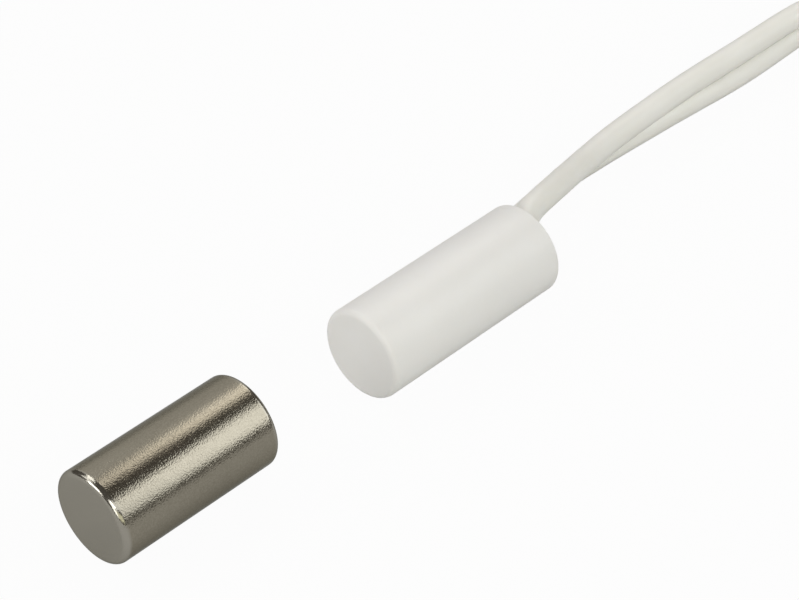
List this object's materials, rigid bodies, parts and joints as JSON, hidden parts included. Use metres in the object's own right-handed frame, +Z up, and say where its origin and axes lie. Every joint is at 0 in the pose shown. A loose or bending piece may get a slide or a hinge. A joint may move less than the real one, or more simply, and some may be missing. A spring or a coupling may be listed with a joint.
{
  "type": "recessed magnetic contact",
  "caption": "Recessed magnetic contact: a reed switch potted in a plain press-fit barrel with two leads, and the bare plated cylindrical magnet that works it.",
  "frame": {"origin": "on the surface that the pair lies on, under the middle of the barrel and the magnet, without the leads", "axes": "+X along both axes, from the magnet to the leads; +Z up from the surface"},
  "size_m": [0.126, 0.0148, 0.0069],
  "materials": {
    "barrel_plastic": "fine satin moulding",
    "resin": "satin",
    "reed_glass": "clear, slightly green",
    "reed_wire": "bright tinned",
    "blade_metal": "satin, plated tip",
    "sleeve": "matt woven",
    "solder": "satin",
    "tinned_copper": "satin strands",
    "lead_insulation": "soft satin",
    "tie_plastic": "matt",
    "magnet_nickel": "satin plating with a fine grain"
  },
  "bodies": {
    "switch": {"switch_barrel": "barrel_plastic", "resin_fill": "resin", "glass_capsule": "reed_glass", "front_reed_wire": "reed_wire", "rear_reed_wire": "reed_wire", "return_sleeve": "sleeve", "upper_splice": "solder", "lower_splice": "solder", "upper_core": "tinned_copper", "lower_core": "tinned_copper", "upper_lead": "lead_insulation", "lower_lead": "lead_insulation", "upper_hank": "lead_insulation", "lower_hank": "lead_insulation", "upper_tip": "tinned_copper", "lower_tip": "tinned_copper", "hank_tie": "tie_plastic"},
    "front_blade": {"front_blade": "blade_metal"},
    "rear_blade": {"rear_blade": "blade_metal"},
    "magnet": {"magnet": "magnet_nickel"}
  },
  "joints": [
    {"name": "magnet_travel", "type": "slide", "parent": "switch", "child": "magnet", "axis": [-1, 0, 0], "range_m": [-0.0088, 0.0157]},
    {"name": "front_blade_flex", "type": "hinge", "parent": "switch", "child": "front_blade", "pos_m": [0.00685, -0.00005, 0.00488], "axis": [0, 1, 0], "range_deg": [0, 0.889], "stiffness_Nm_per_rad": 0.0003},
    {"name": "rear_blade_flex", "type": "hinge", "parent": "switch", "child": "rear_blade", "pos_m": [0.01265, -0.00005, 0.00462], "axis": [0, 1, 0], "range_deg": [0, 0.889], "stiffness_Nm_per_rad": 0.0003}
  ],
  "couplings": [
    {"joint": "rear_blade_flex", "follows": "front_blade_flex", "ratio": 1}
  ]
}
